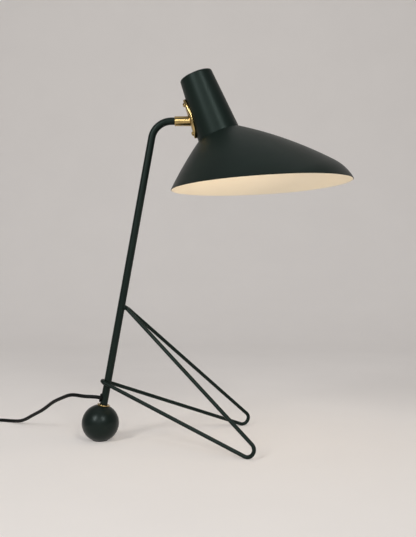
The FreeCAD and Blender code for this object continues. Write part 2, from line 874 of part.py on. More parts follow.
def shade_neck():
    neck = rounded_cone(0, -neck_stock, neck_length, neck_corner)
    inner = rounded_cone(-sheet, -neck_stock - sheet, neck_length - sheet, neck_corner - sheet)
    neck = neck.cut(inner).cut(bell_filled())
    neck = max(neck.Solids, key=lambda s: s.Volume)
    for hole in screw_holes():
        neck = neck.cut(hole.common(behind_axis(2 * neck_base_radius, -neck_length, 2 * neck_length)))
    neck = neck.cut(flex_hole())
    for i in range(vent_count):
        angle = 2 * pi * i / vent_count
        spot = shade_point(vent_circle * cos(angle), vent_circle * sin(angle), neck_length - 3 * sheet)
        neck = neck.cut(cylinder(vent_radius, spot, axis_up, 6 * sheet))
    return neck


def behind_axis(half_width, low, high, past=0.0):
    """Block on the side of the shade's axis that faces the arm, and past the axis."""
    back = 2 * neck_base_radius
    block = box_between(Vector(-back, -half_width, low), Vector(past, half_width, high))
    block.Placement = shade_place
    return block


# ---- lamp holder ----

# the strap's tab stands above the upper nut
tab_height = shade_place.inverse().multVec(screw_spots[0]).z + nut_flats / sqrt(3) + tab_gap


def holder_strap():
    wall = neck_cone(-sheet).cut(neck_cone(-sheet - strap_thickness))
    top = tab_height + strap_thickness
    wall = wall.common(behind_axis(strap_width / 2, collar_rise + strap_gap, top))
    tab = behind_axis(strap_width / 2, tab_height, top, nipple_nut_flats / 2 + strap_margin)
    strap = joined([wall, tab.common(neck_cone(-sheet))])
    strap = strap.cut(cylinder(nipple_radius, shade_point(0, 0, tab_height), axis_up, strap_thickness))
    strap = strap.cut(flex_hole())
    for hole in screw_holes():
        strap = strap.cut(hole)
    return strap


nipple_top = tab_height + strap_thickness + nipple_rise
holder_top = tab_height
nipple_low = holder_top - holder_cap_roof - nipple_below


def holder_nipple():
    return ring(nipple_radius, nipple_bore, shade_point(0, 0, nipple_low), axis_up, nipple_top - nipple_low)


def nipple_nut():
    low = shade_point(0, 0, tab_height + strap_thickness)
    nut = hex_prism(nipple_nut_flats, low, axis_up, nipple_nut_height)
    return nut.cut(cylinder(nipple_radius, low, axis_up, nipple_nut_height))


def holder_cap():
    low = holder_top - holder_cap_height
    cap = cylinder(holder_radius, shade_point(0, 0, low), axis_up, holder_cap_height)
    cap = cap.makeFillet(holder_cap_edge, rims_at(cap, shade_point(0, 0, holder_top)))
    hollow = cylinder(holder_radius - holder_wall, shade_point(0, 0, low), axis_up,
                      holder_cap_height - holder_cap_roof)
    cap = cap.cut(hollow)
    return cap.cut(cylinder(nipple_radius, shade_point(0, 0, low), axis_up, 2 * holder_cap_height))


sleeve_top = holder_foot + sleeve_recess + sleeve_length


def holder_body():
    high = holder_top - holder_cap_height
    body = cylinder(holder_radius, shade_point(0, 0, holder_foot), axis_up, high - holder_foot)
    bore = cylinder(sleeve_radius, shade_point(0, 0, holder_foot), axis_up, sleeve_top - holder_foot)
    upper = cylinder(holder_radius - holder_wall, shade_point(0, 0, sleeve_top), axis_up, high - sleeve_top)
    body = body.cut(bore).cut(upper)
    out = holder_radius + flute_radius - flute_depth
    low = holder_foot + flute_end
    for i in range(flute_count):
        angle = 2 * pi * i / flute_count
        body = body.cut(cylinder(flute_radius, shade_point(out * cos(angle), out * sin(angle), low),
                                 axis_up, high - flute_end - low))
    return body


def holder_sleeve():
    start = shade_point(0, 0, sleeve_top - sleeve_length)
    return ring(sleeve_radius, sleeve_radius - sleeve_wall, start, axis_up, sleeve_length)


def holder_insert():
    """Ceramic block that carries the contacts, over the sleeve."""
    return cylinder(holder_radius - holder_wall, shade_point(0, 0, sleeve_top), axis_up, insert_height)


bulb_tip = sleeve_top - contact_height


def holder_contact():
    return cylinder(contact_radius, shade_point(0, 0, bulb_tip), axis_up, contact_height)


# ---- bulb ----

def bulb_contact():
    low = bulb_tip - bulb_tip_height
    tip = Part.makeCone(cap_radius, bulb_tip_radius, bulb_tip_height)
    tip.Placement = Placement(shade_point(0, 0, low), shade_place.Rotation)
    return tip


def bulb_cap():
    high = bulb_tip - bulb_tip_height
    return cylinder(cap_radius, shade_point(0, 0, high - cap_length), axis_up, cap_length)


def globe(radius, neck):
    """Ball that narrows to the cap's end."""
    centre = bulb_tip - bulb_length + bulb_radius
    cap_low = bulb_tip - bulb_tip_height - cap_length
    low = Vector(0, 0, centre - radius)
    join = radians(bulb_join)
    side = Vector(radius * cos(join), 0, centre + radius * sin(join))
    throat = Vector(neck, 0, cap_low)
    top = Vector(0, 0, cap_low)
    edges = [Part.Arc(low, Vector(radius, 0, centre), side).toShape()]
    edges += [Part.LineSegment(a, b).toShape() for a, b in ((side, throat), (throat, top), (top, low))]
    return revolved(edges, shade_place)


def bulb_glass():
    """Opal globe, hollow; the cap closes it."""
    return globe(bulb_radius, glass_neck_radius).cut(
        globe(bulb_radius - glass_wall, glass_neck_radius - glass_wall))


# ---- flex inside the lamp ----

def stem_flex():
    """The cord from the grommet's face up the stem and through the swivel."""
    points = [grommet_face, grommet_root, stem_at_height(arm_height), on_arm(spindle_end)]
    bends = {1: flex_turn, 2: bend_radius}
    return sweep(rounded_path(points, lambda shorter, half, i: bends[i])[0], cord_radius)


flex_start = on_arm(spindle_end)
head_flex_points = [
    flex_start,
    flex_start + X * 9.0,
    shade_point(-20.0, -3.5, 24.0),
    shade_point(-15.5, -11.5, 33.0),
    shade_point(-14.5, -13.0, 47.0),
    shade_point(-10.5, -12.0, 62.0),
    shade_point(-3.0, -6.0, 73.0),
    shade_point(0.0, 0.0, nipple_top + 8.0),
    shade_point(0.0, 0.0, nipple_low),
]


def head_flex():
    return cord_tube("head_flex", head_flex_points, flex_radius)[0]


# ---- inline switch ----

def rounded_block(length, width, height, corner):
    """Block along Y on the surface with rounded upright corners."""
    block = Part.makeBox(width, length, height, Vector(-width / 2, -length / 2, 0))
    upright = [e for e in block.Edges if e.BoundBox.ZLength > height / 2]
    return block.makeFillet(corner, upright)


switch_place = Placement(Vector(switch_x, switch_middle, 0), Rotation())
rocker_pivot = Vector(switch_x, switch_middle, switch_height - rocker_dip)


def rocker_edge():
    """Height of the rocker's ends over its pivot when it is level."""
    return rocker_arm - rocker_length / 2 * tan(radians(rocker_throw / 2))


def rocker_reach():
    """How far the rocker's end swings from its pivot along the switch."""
    swing = radians(rocker_throw / 2)
    return rocker_length / 2 * cos(swing) + rocker_edge() * sin(swing)


def switch_shell():
    outer = rounded_block(switch_length, switch_width, switch_height, switch_corner)
    top = [e for e in outer.Edges if e.BoundBox.ZMin > switch_height - same_point]
    outer = outer.makeFillet(switch_edge, top)
    inner = rounded_block(switch_length - 2 * switch_wall, switch_width - 2 * switch_wall,
                          switch_height - 2 * switch_wall, switch_corner - switch_wall)
    inner.translate(Z * switch_wall)
    shell = outer.cut(inner)
    shell.Placement = switch_place.multiply(shell.Placement)
    entry = Vector(switch_x, switch_middle - switch_length, switch_entry)
    return shell.cut(cylinder(gland_radius, entry, Y, 2 * switch_length))


def switch_slab(low, high):
    """All of the switch between two heights."""
    slab = box_between(Vector(-switch_width, -switch_length, low), Vector(switch_width, switch_length, high))
    slab.Placement = switch_place
    return slab


def switch_screw_spots():
    y = switch_length / 2 - switch_screw_inset
    return [switch_place.multVec(Vector(side * (switch_width / 2 - switch_screw_side), side * y, 0))
            for side in (1, -1)]


def switch_base():
    base = switch_shell().common(switch_slab(0, switch_split))
    seat = switch_head_sink + switch_head_height
    for spot in switch_screw_spots():
        post = cylinder(switch_post_radius, spot + Z * (switch_wall / 2), Z, switch_split - switch_wall / 2)
        base = base.fuse(post).removeSplitter()
    for spot in switch_screw_spots():
        base = base.cut(cylinder(switch_screw_radius + screw_clearance / 2, spot, Z, switch_split))
        base = base.cut(cylinder(switch_head_radius + screw_clearance / 2, spot, Z, seat))
    return base


def switch_cover():
    cover = switch_shell().common(switch_slab(switch_split, switch_height))
    near = rocker_width / 2 + rocker_gap
    reach = rocker_reach() + rocker_gap
    window = box_between(Vector(-near, -reach, switch_height - 2 * switch_wall),
                         Vector(near, reach, switch_height + switch_wall))
    window.Placement = switch_place
    cover = cover.cut(window)
    for spot in switch_screw_spots():
        foot = spot + Z * switch_split
        post = cylinder(switch_post_radius, foot, Z, switch_height - switch_wall - switch_split)
        post = post.cut(cylinder(switch_screw_radius, foot, Z, switch_post_bore))
        cover = cover.fuse(post).removeSplitter()
    # two lugs carry the rocker's pin
    for side in (-1, 1):
        inner, outer = sorted((side * near, side * (near + lug_thickness)))
        lug = box_between(Vector(inner, -lug_reach, switch_height - rocker_dip - lug_reach),
                          Vector(outer, lug_reach, switch_height - switch_wall))
        lug.Placement = switch_place
        bore = cylinder(rocker_pin_radius + turn_gap, rocker_pivot - X * switch_width, X, 2 * switch_width)
        cover = cover.fuse(lug.cut(bore))
    return cover.removeSplitter()


def switch_screws():
    screws = []
    for spot in switch_screw_spots():
        head = cylinder(switch_head_radius, spot + Z * switch_head_sink, Z, switch_head_height)
        seat = switch_head_sink + switch_head_height
        shank = cylinder(switch_screw_radius, spot + Z * seat, Z, switch_split + switch_post_bore - seat)
        screws.append(joined([head, shank]))
    return Part.makeCompound(screws)


def ribbed_boot(start, direction, length, root, grooves):
    """Strain relief: a cone round the cord, with grooves so that it bends."""
    tip = cord_radius + boot_wall
    boot = Part.makeCone(root, tip, length, start, direction)
    pitch = length / (grooves + 1)
    for i in range(grooves):
        place = pitch * (i + 1)
        bottom = root + (tip - root) * place / length - boot_groove_depth
        boot = boot.cut(ring(2 * root, bottom, start + direction * (place - groove_width / 2), direction,
                             groove_width))
    return boot


def switch_glands():
    """Rubber strain reliefs where the cord enters the switch."""
    glands = []
    inside = switch_wall + gland_lip
    for side in (1, -1):
        out = Y * side
        mouth = switch_place.multVec(Vector(0, side * switch_length / 2, switch_entry))
        lip = cylinder(gland_radius, mouth - out * inside, out, inside)
        gland = joined([lip, ribbed_boot(mouth, out, gland_length, gland_radius, gland_groove_count)])
        glands.append(gland.cut(cylinder(cord_radius, mouth - out * inside, out, inside + gland_length)))
    return Part.makeCompound(glands)


def switch_core():
    """Terminal block under the rocker."""
    half = core_length / 2
    block = box_between(Vector(-core_width / 2, -half, switch_wall), Vector(core_width / 2, half, core_top))
    block.Placement = switch_place
    return block


def switch_leads():
    """The cord's ends, through the bushes to the terminal block."""
    reach = switch_length / 2 + gland_length - core_length / 2
    leads = []
    for side in (1, -1):
        start = switch_place.multVec(Vector(0, side * core_length / 2, switch_entry))
        leads.append(cylinder(cord_radius, start, Y * side, reach))
    return Part.makeCompound(leads)


def switch_rocker():
    """Rocker with a ridge across its middle, pressed down at one end."""
    half = rocker_length / 2
    ends = rocker_edge()
    side = [(half, ends), (half - rocker_draft, ends - rocker_arm / 2), (rocker_toe, -rocker_skirt)]
    outline = [(0, rocker_arm - rocker_ridge)] + side + [(-y, z) for y, z in reversed(side)]
    profile = Part.makePolygon([Vector(0, y, z) for y, z in outline + outline[:1]])
    body = Part.Face(profile).extrude(X * rocker_width)
    body.translate(X * (-rocker_width / 2))
    pin_half = rocker_width / 2 + rocker_gap + lug_thickness - pin_play
    pin = cylinder(rocker_pin_radius, X * -pin_half, X, 2 * pin_half)
    rocker = joined([body, pin])
    rocker.Placement = Placement(rocker_pivot, Rotation(X, -rocker_throw / 2))
    return rocker


# ---- plug ----

boot_root = plug_face - Y * plug_boot_length
pin_axes = [boot_root + Vector(side * pin_spacing / 2, -plug_depth, 0) for side in (-1, 1)]


def plug_body():
    half = plug_width / 2
    side = [(plug_back, 0), (half, -plug_shoulder), (half, -plug_depth)]
    outline = side + [(-x, y) for x, y in reversed(side)]
    body = Part.Face(Part.makePolygon([Vector(x, y, 0) for x, y in outline + outline[:1]]))
    body = body.extrude(Z * plug_thickness)
    upright = [e for e in body.Edges
               if e.BoundBox.ZLength > plug_thickness / 2 and abs(e.CenterOfMass.x) > plug_back + same_point]
    body = body.makeFillet(plug_corner, upright)
    body.translate(boot_root - Z * (plug_thickness / 2))
    boot = ribbed_boot(boot_root, Y, plug_boot_length, plug_boot_radius, plug_boot_groove_count)
    body = joined([body, boot])
    for pin in pin_axes:
        body = body.cut(cylinder(pin_radius, pin + Y * pin_root, Y * -1, pin_root))
    return body


def plug_pins():
    pins = []
    for pin in pin_axes:
        core = cylinder(pin_radius - pin_sleeve_wall, pin + Y * pin_root, Y * -1,
                        pin_root + pin_sleeve_length + pin_lap)
        tip = cylinder(pin_radius, pin - Y * pin_sleeve_length, Y * -1, pin_length - pin_sleeve_length)
        tip = tip.makeFillet(pin_round, rims_at(tip, pin - Y * pin_length))
        pins.append(joined([core, tip]))
    return Part.makeCompound(pins)


def pin_sleeves():
    bore = pin_radius - pin_sleeve_wall
    length = pin_root + pin_sleeve_length
    return Part.makeCompound([ring(pin_radius, bore, pin + Y * pin_root, Y * -1, length) for pin in pin_axes])


# ---- the parts ----

def build():
    parts = {}
    parts["foot_ball"] = foot_ball()
    parts["foot_pad"] = foot_pad()
    parts["ball_collar"] = ball_collar()
    parts["foot_screw"] = foot_screw()
    parts["stem_plug"] = stem_plug()
    parts["stem_tube"] = stem_tube()
    parts["leg_frame"] = leg_frame()
    parts["leg_welds"] = leg_welds(parts["leg_frame"])
    parts["cord_grommet"] = cord_grommet()
    parts["swivel_spindle"] = swivel_spindle()
    parts["stem_flex"] = stem_flex()

    parts["swivel_ferrule"] = swivel_ferrule()
    parts["friction_screw"] = friction_screw()
    parts["friction_pad"] = friction_pad()
    parts["back_plate"] = back_plate()
    parts["plate_screws"] = plate_screws()
    parts["plate_nuts"] = plate_nuts()
    parts["shade_neck"] = shade_neck()
    parts["shade_bell"] = shade_bell()
    parts["holder_strap"] = holder_strap()
    parts["holder_nipple"] = holder_nipple()
    parts["nipple_nut"] = nipple_nut()
    parts["holder_cap"] = holder_cap()
    parts["holder_body"] = holder_body()
    parts["holder_sleeve"] = holder_sleeve()
    parts["holder_insert"] = holder_insert()
    parts["holder_contact"] = holder_contact()
    parts["bulb_glass"] = bulb_glass()
    parts["bulb_cap"] = bulb_cap()
    parts["bulb_contact"] = bulb_contact()
    parts["head_flex"] = head_flex()

    parts["cord_lead"], lead = cord_tube("cord_lead", lead_points)
    parts["cord_link"], link = cord_tube("cord_link", link_points)
    parts["cord_coil"], coil = cord_coil()
    coil_end = coil_point(2 * pi * coil_turns) - Y * coil_lead
    tail_points = [
        coil_end,
        coil_end - Y * 8.0,
        plug_face + Y * 8.0,
        plug_face,
    ]
    parts["cord_tail"], tail = cord_tube("cord_tail", tail_points)
    parts["coil_ties"] = coil_ties()
    parts["switch_base"] = switch_base()
    parts["switch_cover"] = switch_cover()
    parts["switch_screws"] = switch_screws()
    parts["switch_glands"] = switch_glands()
    parts["switch_core"] = switch_core()
    parts["switch_leads"] = switch_leads()
    parts["switch_rocker"] = switch_rocker()
    parts["plug_body"] = plug_body()
    parts["plug_pins"] = plug_pins()
    parts["pin_sleeves"] = pin_sleeves()
    hidden = switch_far - switch_near + plug_boot_length
    print(f"cord in all {lead + link + coil + tail + hidden:.0f}")
    return parts


os.makedirs("parts", exist_ok=True)
for name, shape in build().items():
    if not shape.isValid() or not shape.Solids:
        print("NOT VALID", name)
    shape.exportStep(f"parts/{name}.step")
print("parts written")
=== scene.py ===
import json
from math import cos, pi, radians, sin, tan

import bmesh
import bpy
from mathutils import Matrix, Vector


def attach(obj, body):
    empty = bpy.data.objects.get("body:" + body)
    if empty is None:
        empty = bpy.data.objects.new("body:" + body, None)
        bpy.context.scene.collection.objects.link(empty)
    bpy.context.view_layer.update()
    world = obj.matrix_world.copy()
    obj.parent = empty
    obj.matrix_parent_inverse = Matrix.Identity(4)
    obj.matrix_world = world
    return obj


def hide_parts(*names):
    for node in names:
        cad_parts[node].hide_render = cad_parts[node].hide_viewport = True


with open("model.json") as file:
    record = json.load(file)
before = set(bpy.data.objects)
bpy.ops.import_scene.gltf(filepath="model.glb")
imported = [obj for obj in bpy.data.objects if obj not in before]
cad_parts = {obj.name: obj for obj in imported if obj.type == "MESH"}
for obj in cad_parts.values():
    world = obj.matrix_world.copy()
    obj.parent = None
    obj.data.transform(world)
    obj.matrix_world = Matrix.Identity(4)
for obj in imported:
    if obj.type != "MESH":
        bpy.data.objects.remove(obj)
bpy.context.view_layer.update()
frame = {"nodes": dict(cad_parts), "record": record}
nodes = frame["nodes"]
mm = 0.001                    # pieces are set in millimetres, the camera, stage and lights in metres
mergeGap = 0.01 * mm          # points nearer than this become one
stemLean = 10.235             # degrees from upright, towards the shade
print("frame loaded:", len(nodes), "nodes")


# camera, at the photograph's viewing angle

cameraSettings = {
    "place": (0.1649, -1.0187, 0.2310),
    "turn": 1.103,            # degrees to the left of straight ahead
    "lens": 50.73,
    "sensor": 36.0,
    "shiftY": 0.0011,
    "nearest": 0.01,
}


def makeCamera(c):
    data = bpy.data.cameras.new("photoCamera")
    data.lens = c["lens"]
    data.sensor_width = c["sensor"]
    data.shift_y = c["shiftY"]
    data.clip_start = c["nearest"]
    camera = bpy.data.objects.new("photoCamera", data)
    camera.location = c["place"]
    camera.rotation_euler = (pi / 2, 0, radians(c["turn"]))
    bpy.context.scene.collection.objects.link(camera)
    bpy.context.scene.camera = camera


makeCamera(cameraSettings)
print("camera placed")


# helpers for materials

def newMaterial(name):
    material = bpy.data.materials.new(name)
    material.use_nodes = True
    tree = material.node_tree
    return material, tree, tree.nodes["Principled BSDF"]


# a node whose unlinked sockets and properties are set by name
def addNode(tree, kind, **values):
    node = tree.nodes.new(kind)
    for key, value in values.items():
        if key in node.inputs:
            node.inputs[key].default_value = value
        else:
            setattr(node, key, value)
    return node


def objectCoordinates(tree, scale=(1, 1, 1)):
    source = addNode(tree, "ShaderNodeTexCoord")
    mapping = addNode(tree, "ShaderNodeMapping", Scale=scale)
    tree.links.new(source.outputs["Object"], mapping.inputs["Vector"])
    return mapping.outputs["Vector"]


def addNoise(tree, where, scale, detail, roughness=0.5):
    noise = addNode(tree, "ShaderNodeTexNoise", Scale=scale, Detail=detail, Roughness=roughness)
    tree.links.new(where, noise.inputs["Vector"])
    return noise.outputs["Fac"]


# base colour that drifts from one tone to the other over the middle of a noise's range
def driftColour(tree, shader, noise, low, high, span=(0.3, 0.7)):
    ramp = addNode(tree, "ShaderNodeValToRGB")
    for element, place, colour in zip(ramp.color_ramp.elements, span, (low, high)):
        element.position = place
        element.color = (*colour, 1.0)
    tree.links.new(noise, ramp.inputs["Fac"])
    tree.links.new(ramp.outputs["Color"], shader.inputs["Base Color"])


def driftRoughness(tree, shader, noise, low, high):
    span = addNode(tree, "ShaderNodeMapRange")
    span.inputs["To Min"].default_value = low
    span.inputs["To Max"].default_value = high
    tree.links.new(noise, span.inputs["Value"])
    tree.links.new(span.outputs["Result"], shader.inputs["Roughness"])


def addBump(tree, shader, height, strength, distance):
    bump = addNode(tree, "ShaderNodeBump", Strength=strength, Distance=distance)
    tree.links.new(height, bump.inputs["Height"])
    tree.links.new(bump.outputs["Normal"], shader.inputs["Normal"])


def tone(colour, factor):
    return tuple(min(1.0, c * factor) for c in colour)


# sprayed finishes: pattern scales shared by all, then each one's own settings

sprayPattern = {"drift": 22.0, "cloud": 90.0, "peel": 900.0, "peelDepth": 0.0001}

paintSettings = {
    "colour": (0.0062, 0.0112, 0.0086),
    "drift": 0.12,
    "rough": (0.37, 0.43),
    "peel": 0.08,
    "specular": 0.21,
    "tint": (0.77, 1.0, 0.95),
}

ballSettings = {
    "colour": (0.0062, 0.0108, 0.0084),
    "drift": 0.10,
    "rough": (0.31, 0.36),
    "peel": 0.04,
    "specular": 0.26,
    "tint": (0.84, 1.0, 0.98),
}

# pale paint of the shade's inside; its warm cream tone is partly the paint's own and partly painted warm
# light from the bulb
creamAndPaintedGlowSettings = {
    "colour": (0.85, 0.805, 0.715),
    "drift": 0.015,
    "rough": (0.49, 0.53),
    "peel": 0.06,
    "specular": 0.36,
    "tint": (1.0, 0.98, 0.94),
}


# slow colour drift, orange peel and a soft sheen
def sprayedPaint(name, c):
    material, tree, shader = newMaterial(name)
    where = objectCoordinates(tree)
    drift = addNoise(tree, where, sprayPattern["drift"], detail=3.0)
    driftColour(tree, shader, drift, tone(c["colour"], 1 - c["drift"]), tone(c["colour"], 1 + c["drift"]))
    cloud = addNoise(tree, where, sprayPattern["cloud"], detail=2.0)
    driftRoughness(tree, shader, cloud, *c["rough"])
    shader.inputs["Specular IOR Level"].default_value = c["specular"]
    shader.inputs["Specular Tint"].default_value = (*c["tint"], 1.0)
    peel = addNoise(tree, where, sprayPattern["peel"], detail=2.0)
    addBump(tree, shader, peel, c["peel"], sprayPattern["peelDepth"])
    return material


# metals: tarnish and brushed lines shared by all

brushPattern = {
    "tarnish": 45.0,
    "lines": (40, 900, 900),
    "lineDepth": 0.00005,
    "lineStrength": 0.15,
}

brassSettings = {
    "colour": (0.47, 0.345, 0.150),
    "dark": (0.34, 0.235, 0.090),
    "rough": (0.14, 0.22),
}

steelSettings = {
    "colour": (0.55, 0.55, 0.56),
    "dark": (0.42, 0.42, 0.43),
    "rough": (0.28, 0.42),
}

threadSettings = {
    "colour": (0.76, 0.62, 0.36),
    "dark": (0.62, 0.48, 0.26),
    "rough": (0.24, 0.36),
}

capSettings = {
    "colour": (0.72, 0.72, 0.72),
    "dark": (0.58, 0.58, 0.58),
    "rough": (0.26, 0.38),
}


# turned and lightly brushed, with a little tarnish
def brushedMetal(name, c):
    material, tree, shader = newMaterial(name)
    shader.inputs["Metallic"].default_value = 1.0
    tarnish = addNoise(tree, objectCoordinates(tree), brushPattern["tarnish"], detail=5.0, roughness=0.6)
    driftColour(tree, shader, tarnish, c["dark"], c["colour"], span=(0.3, 0.6))
    lines = addNoise(tree, objectCoordinates(tree, brushPattern["lines"]), 1.0, detail=2.0)
    driftRoughness(tree, shader, lines, *c["rough"])
    addBump(tree, shader, lines, brushPattern["lineStrength"], brushPattern["lineDepth"])
    return material


# moulded finishes: rubber, plastics and glazed ceramic

mouldPattern = {"flow": 60.0, "grainDepth": 0.00008, "drift": 0.15}

rubberSettings = {
    "colour": (0.0042, 0.0050, 0.0048),
    "specular": 0.13,
    "rough": (0.36, 0.48),
    "grain": 1400.0,
    "bump": 0.12,
}

plasticSettings = {
    "colour": (0.014, 0.014, 0.015),
    "specular": 0.5,
    "rough": (0.26, 0.34),
    "grain": 2600.0,
    "bump": 0.05,
}

phenolicSettings = {
    "colour": (0.020, 0.017, 0.015),
    "specular": 0.5,
    "rough": (0.34, 0.46),
    "grain": 1800.0,
    "bump": 0.06,
}

nylonSettings = {
    "colour": (0.74, 0.73, 0.66),
    "specular": 0.4,
    "rough": (0.42, 0.50),
    "grain": 2200.0,
    "bump": 0.04,
}

ceramicSettings = {
    "colour": (0.80, 0.78, 0.73),
    "specular": 0.5,
    "rough": (0.14, 0.22),
    "grain": 500.0,
    "bump": 0.03,
}


# the mould's fine grain and faint flow marks
def mouldedFinish(name, c):
    material, tree, shader = newMaterial(name)
    where = objectCoordinates(tree)
    flow = addNoise(tree, where, mouldPattern["flow"], detail=3.0)
    darker = tone(c["colour"], 1 - mouldPattern["drift"])
    lighter = tone(c["colour"], 1 + mouldPattern["drift"])
    driftColour(tree, shader, flow, darker, lighter)
    grain = addNoise(tree, where, c["grain"], detail=2.0)
    driftRoughness(tree, shader, grain, *c["rough"])
    shader.inputs["Specular IOR Level"].default_value = c["specular"]
    addBump(tree, shader, grain, c["bump"], mouldPattern["grainDepth"])
    return material


# cloths: the felt under the ball and the ties of the coil

fibrePattern = {"dark": 0.6, "light": 1.7, "rough": 0.95, "sheen": 0.4, "fibreDepth": 0.0003}

feltSettings = {
    "colour": (0.022, 0.022, 0.022),
    "fibre": 3200.0,
    "bump": 0.6,
}

tieSettings = {
    "colour": (0.018, 0.018, 0.019),
    "fibre": 2400.0,
    "bump": 0.5,
}


# matted fibres with sheen
def fibreCloth(name, c):
    material, tree, shader = newMaterial(name)
    fibre = addNoise(tree, objectCoordinates(tree), c["fibre"], detail=6.0, roughness=0.7)
    darker = tone(c["colour"], fibrePattern["dark"])
    lighter = tone(c["colour"], fibrePattern["light"])
    driftColour(tree, shader, fibre, darker, lighter, span=(0.3, 0.75))
    shader.inputs["Roughness"].default_value = fibrePattern["rough"]
    shader.inputs["Sheen Weight"].default_value = fibrePattern["sheen"]
    addBump(tree, shader, fibre, c["bump"], fibrePattern["fibreDepth"])
    return material


glassSettings = {
    "colour": (0.62, 0.59, 0.53),
    "drift": 0.03,
    "cloud": 70.0,
    "rough": 0.16,
    "glow": (1.0, 0.84, 0.60),
    "strength": 0.62,
}


# faintly cloudy opal glass that glows evenly
def opalGlass(name, c):
    material, tree, shader = newMaterial(name)
    cloud = addNoise(tree, objectCoordinates(tree), c["cloud"], detail=2.0)
    driftColour(tree, shader, cloud, tone(c["colour"], 1 - c["drift"]), c["colour"])
    shader.inputs["Roughness"].default_value = c["rough"]
    shader.inputs["Emission Color"].default_value = (*c["glow"], 1.0)
    shader.inputs["Emission Strength"].default_value = c["strength"]
    return material


paint = sprayedPaint("greenPowderCoat", paintSettings)
# the shade's inner paint, with painted warm bulb light in its tone
creamAndPaintedGlow = sprayedPaint("creamAndPaintedGlowInterior", creamAndPaintedGlowSettings)
brass = brushedMetal("satinBrass", brassSettings)
cordRubber = mouldedFinish("cordJacket", rubberSettings)
print("materials made")


# every part of the frame takes the finish of its slot

slotMaterials = {
    "green_paint": paint,
    "green_gloss": sprayedPaint("greenBallLacquer", ballSettings),
    "brass": brass,
    "steel": brushedMetal("zincSteel", steelSettings),
    "felt": fibreCloth("felt", feltSettings),
    "cord_black": cordRubber,
    "black_plastic": mouldedFinish("blackPlastic", plasticSettings),
    "holder_plastic": mouldedFinish("phenolic", phenolicSettings),
    "ceramic": mouldedFinish("glazedCeramic", ceramicSettings),
    "thread_brass": brushedMetal("platedSheet", threadSettings),
    "opal_glass": opalGlass("opalGlass", glassSettings),
    "bulb_metal": brushedMetal("capAluminium", capSettings),
    "nylon": mouldedFinish("nylon", nylonSettings),
    "tie_black": fibreCloth("tieCloth", tieSettings),
}

nodeSlots = {part["node"]: part["material_slot"] for part in frame["record"]["subparts"]}
for name, node in nodes.items():
    node.data.materials.clear()
    node.data.materials.append(slotMaterials[nodeSlots[name]])
print("frame painted")


# helpers for pieces

def addPiece(name, shape, body, slot, material, *replaced):
    piece = bpy.data.objects.new(name, shape)
    bpy.context.scene.collection.objects.link(piece)
    piece.data.materials.append(material)
    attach(piece, body)
    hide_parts(*replaced)
    return piece


def meshFrom(bm, name):
    mesh = bpy.data.meshes.new(name)
    bm.to_mesh(mesh)
    bm.free()
    mesh.shade_smooth()
    return mesh


# an outline of points and edges, spun once round Z
def spinRound(bm, around):
    bmesh.ops.spin(bm, geom=bm.verts[:] + bm.edges[:], cent=(0, 0, 0), axis=(0, 0, 1), angle=2 * pi,
                   steps=around, use_merge=True, use_duplicate=False)
    bmesh.ops.remove_doubles(bm, verts=bm.verts[:], dist=mergeGap)


# rounds a set of edges over
def roundEdges(bm, edges, width, segments):
    bmesh.ops.bevel(bm, geom=edges, offset=width, affect="EDGES", segments=segments, profile=0.5,
                    material=-1)


# mains cord, along the same points as its tubes in the frame

cordSettings = {
    "radius": 2.5,
    "roundness": 6,
    "leadSteps": 12,            # steps of the smooth line between two points
    "coilSteps": 4,
    "switchX": -214.5,
    "switchFar": 65.0,          # ends of the strain reliefs on the switch
    "switchNear": -37.0,
    "switchEntry": 7.0,
    "exitRun": 6.0,             # straight out of the grommet
    "entryRun": 14.0,           # straight into the switch
    "reliefRun": 10.0,          # straight out of the switch, and into the coil
    "coilCentre": (-174.875, -74.0, 3.3),
    "coilMiddle": 30.0,
    "coilPitch": 5.5,
    "coilTurns": 7,
    "coilLead": 5.0,
    "softTurn": 0.125,          # share of a turn over which the spiral reverses
    "pointsPerTurn": 24,
    "plugRun": 8.0,             # straight out of the coil, and into the plug
    "plugFace": (-214.5, -110.0, 6.85),
    "grommet": (5.935, 56.368),  # x and z on the stem's axis
    "grommetReach": 6.9,
}


def grommetPoint(c, beyond=0.0):
    lean = radians(stemLean)
    reach = c["grommetReach"] + beyond
    x, z = c["grommet"]
    return (x - cos(lean) * reach, 0.0, z + sin(lean) * reach)


def leadRoute(c):
    x = c["switchX"]
    return [
        grommetPoint(c),
        grommetPoint(c, beyond=c["exitRun"]),
        (-22.0, 2.2, 58.5),
        (-42.0, 12.0, 60.0),
        (-58.0, 26.0, 52.4),
        (-74.0, 43.0, 44.0),
        (-92.0, 61.0, 29.4),
        (-111.0, 80.0, 18.4),
        (-132.0, 99.0, 5.4),
        (-150.7, 114.1, 2.5),
        (-172.0, 121.5, 2.5),
        (-190.0, 119.5, 2.5),
        (-204.5, 110.5, 3.2),
        (-212.5, 95.5, 4.6),
        (x, c["switchFar"] + c["entryRun"], c["switchEntry"]),
        (x, c["switchFar"], c["switchEntry"]),
    ]


# in by a steady spiral, up a layer as it reverses, and out again
def coilPoint(c, angle):
    half = c["coilTurns"] * pi
    steps = abs(angle - half) / (2 * pi)
    soft = c["softTurn"]
    if steps < soft:
        steps = (steps ** 2 + soft ** 2) / (2 * soft)
    radius = c["coilMiddle"] - c["coilTurns"] * c["coilPitch"] / 4 + c["coilPitch"] * steps
    rise = min(max((angle - half) / pi + 0.5, 0.0), 1.0)
    climb = c["coilPitch"] * rise * rise * (3 - 2 * rise)
    x, y, z = c["coilCentre"]
    return (x + radius * cos(pi + angle), y + radius * sin(pi + angle), z + climb)


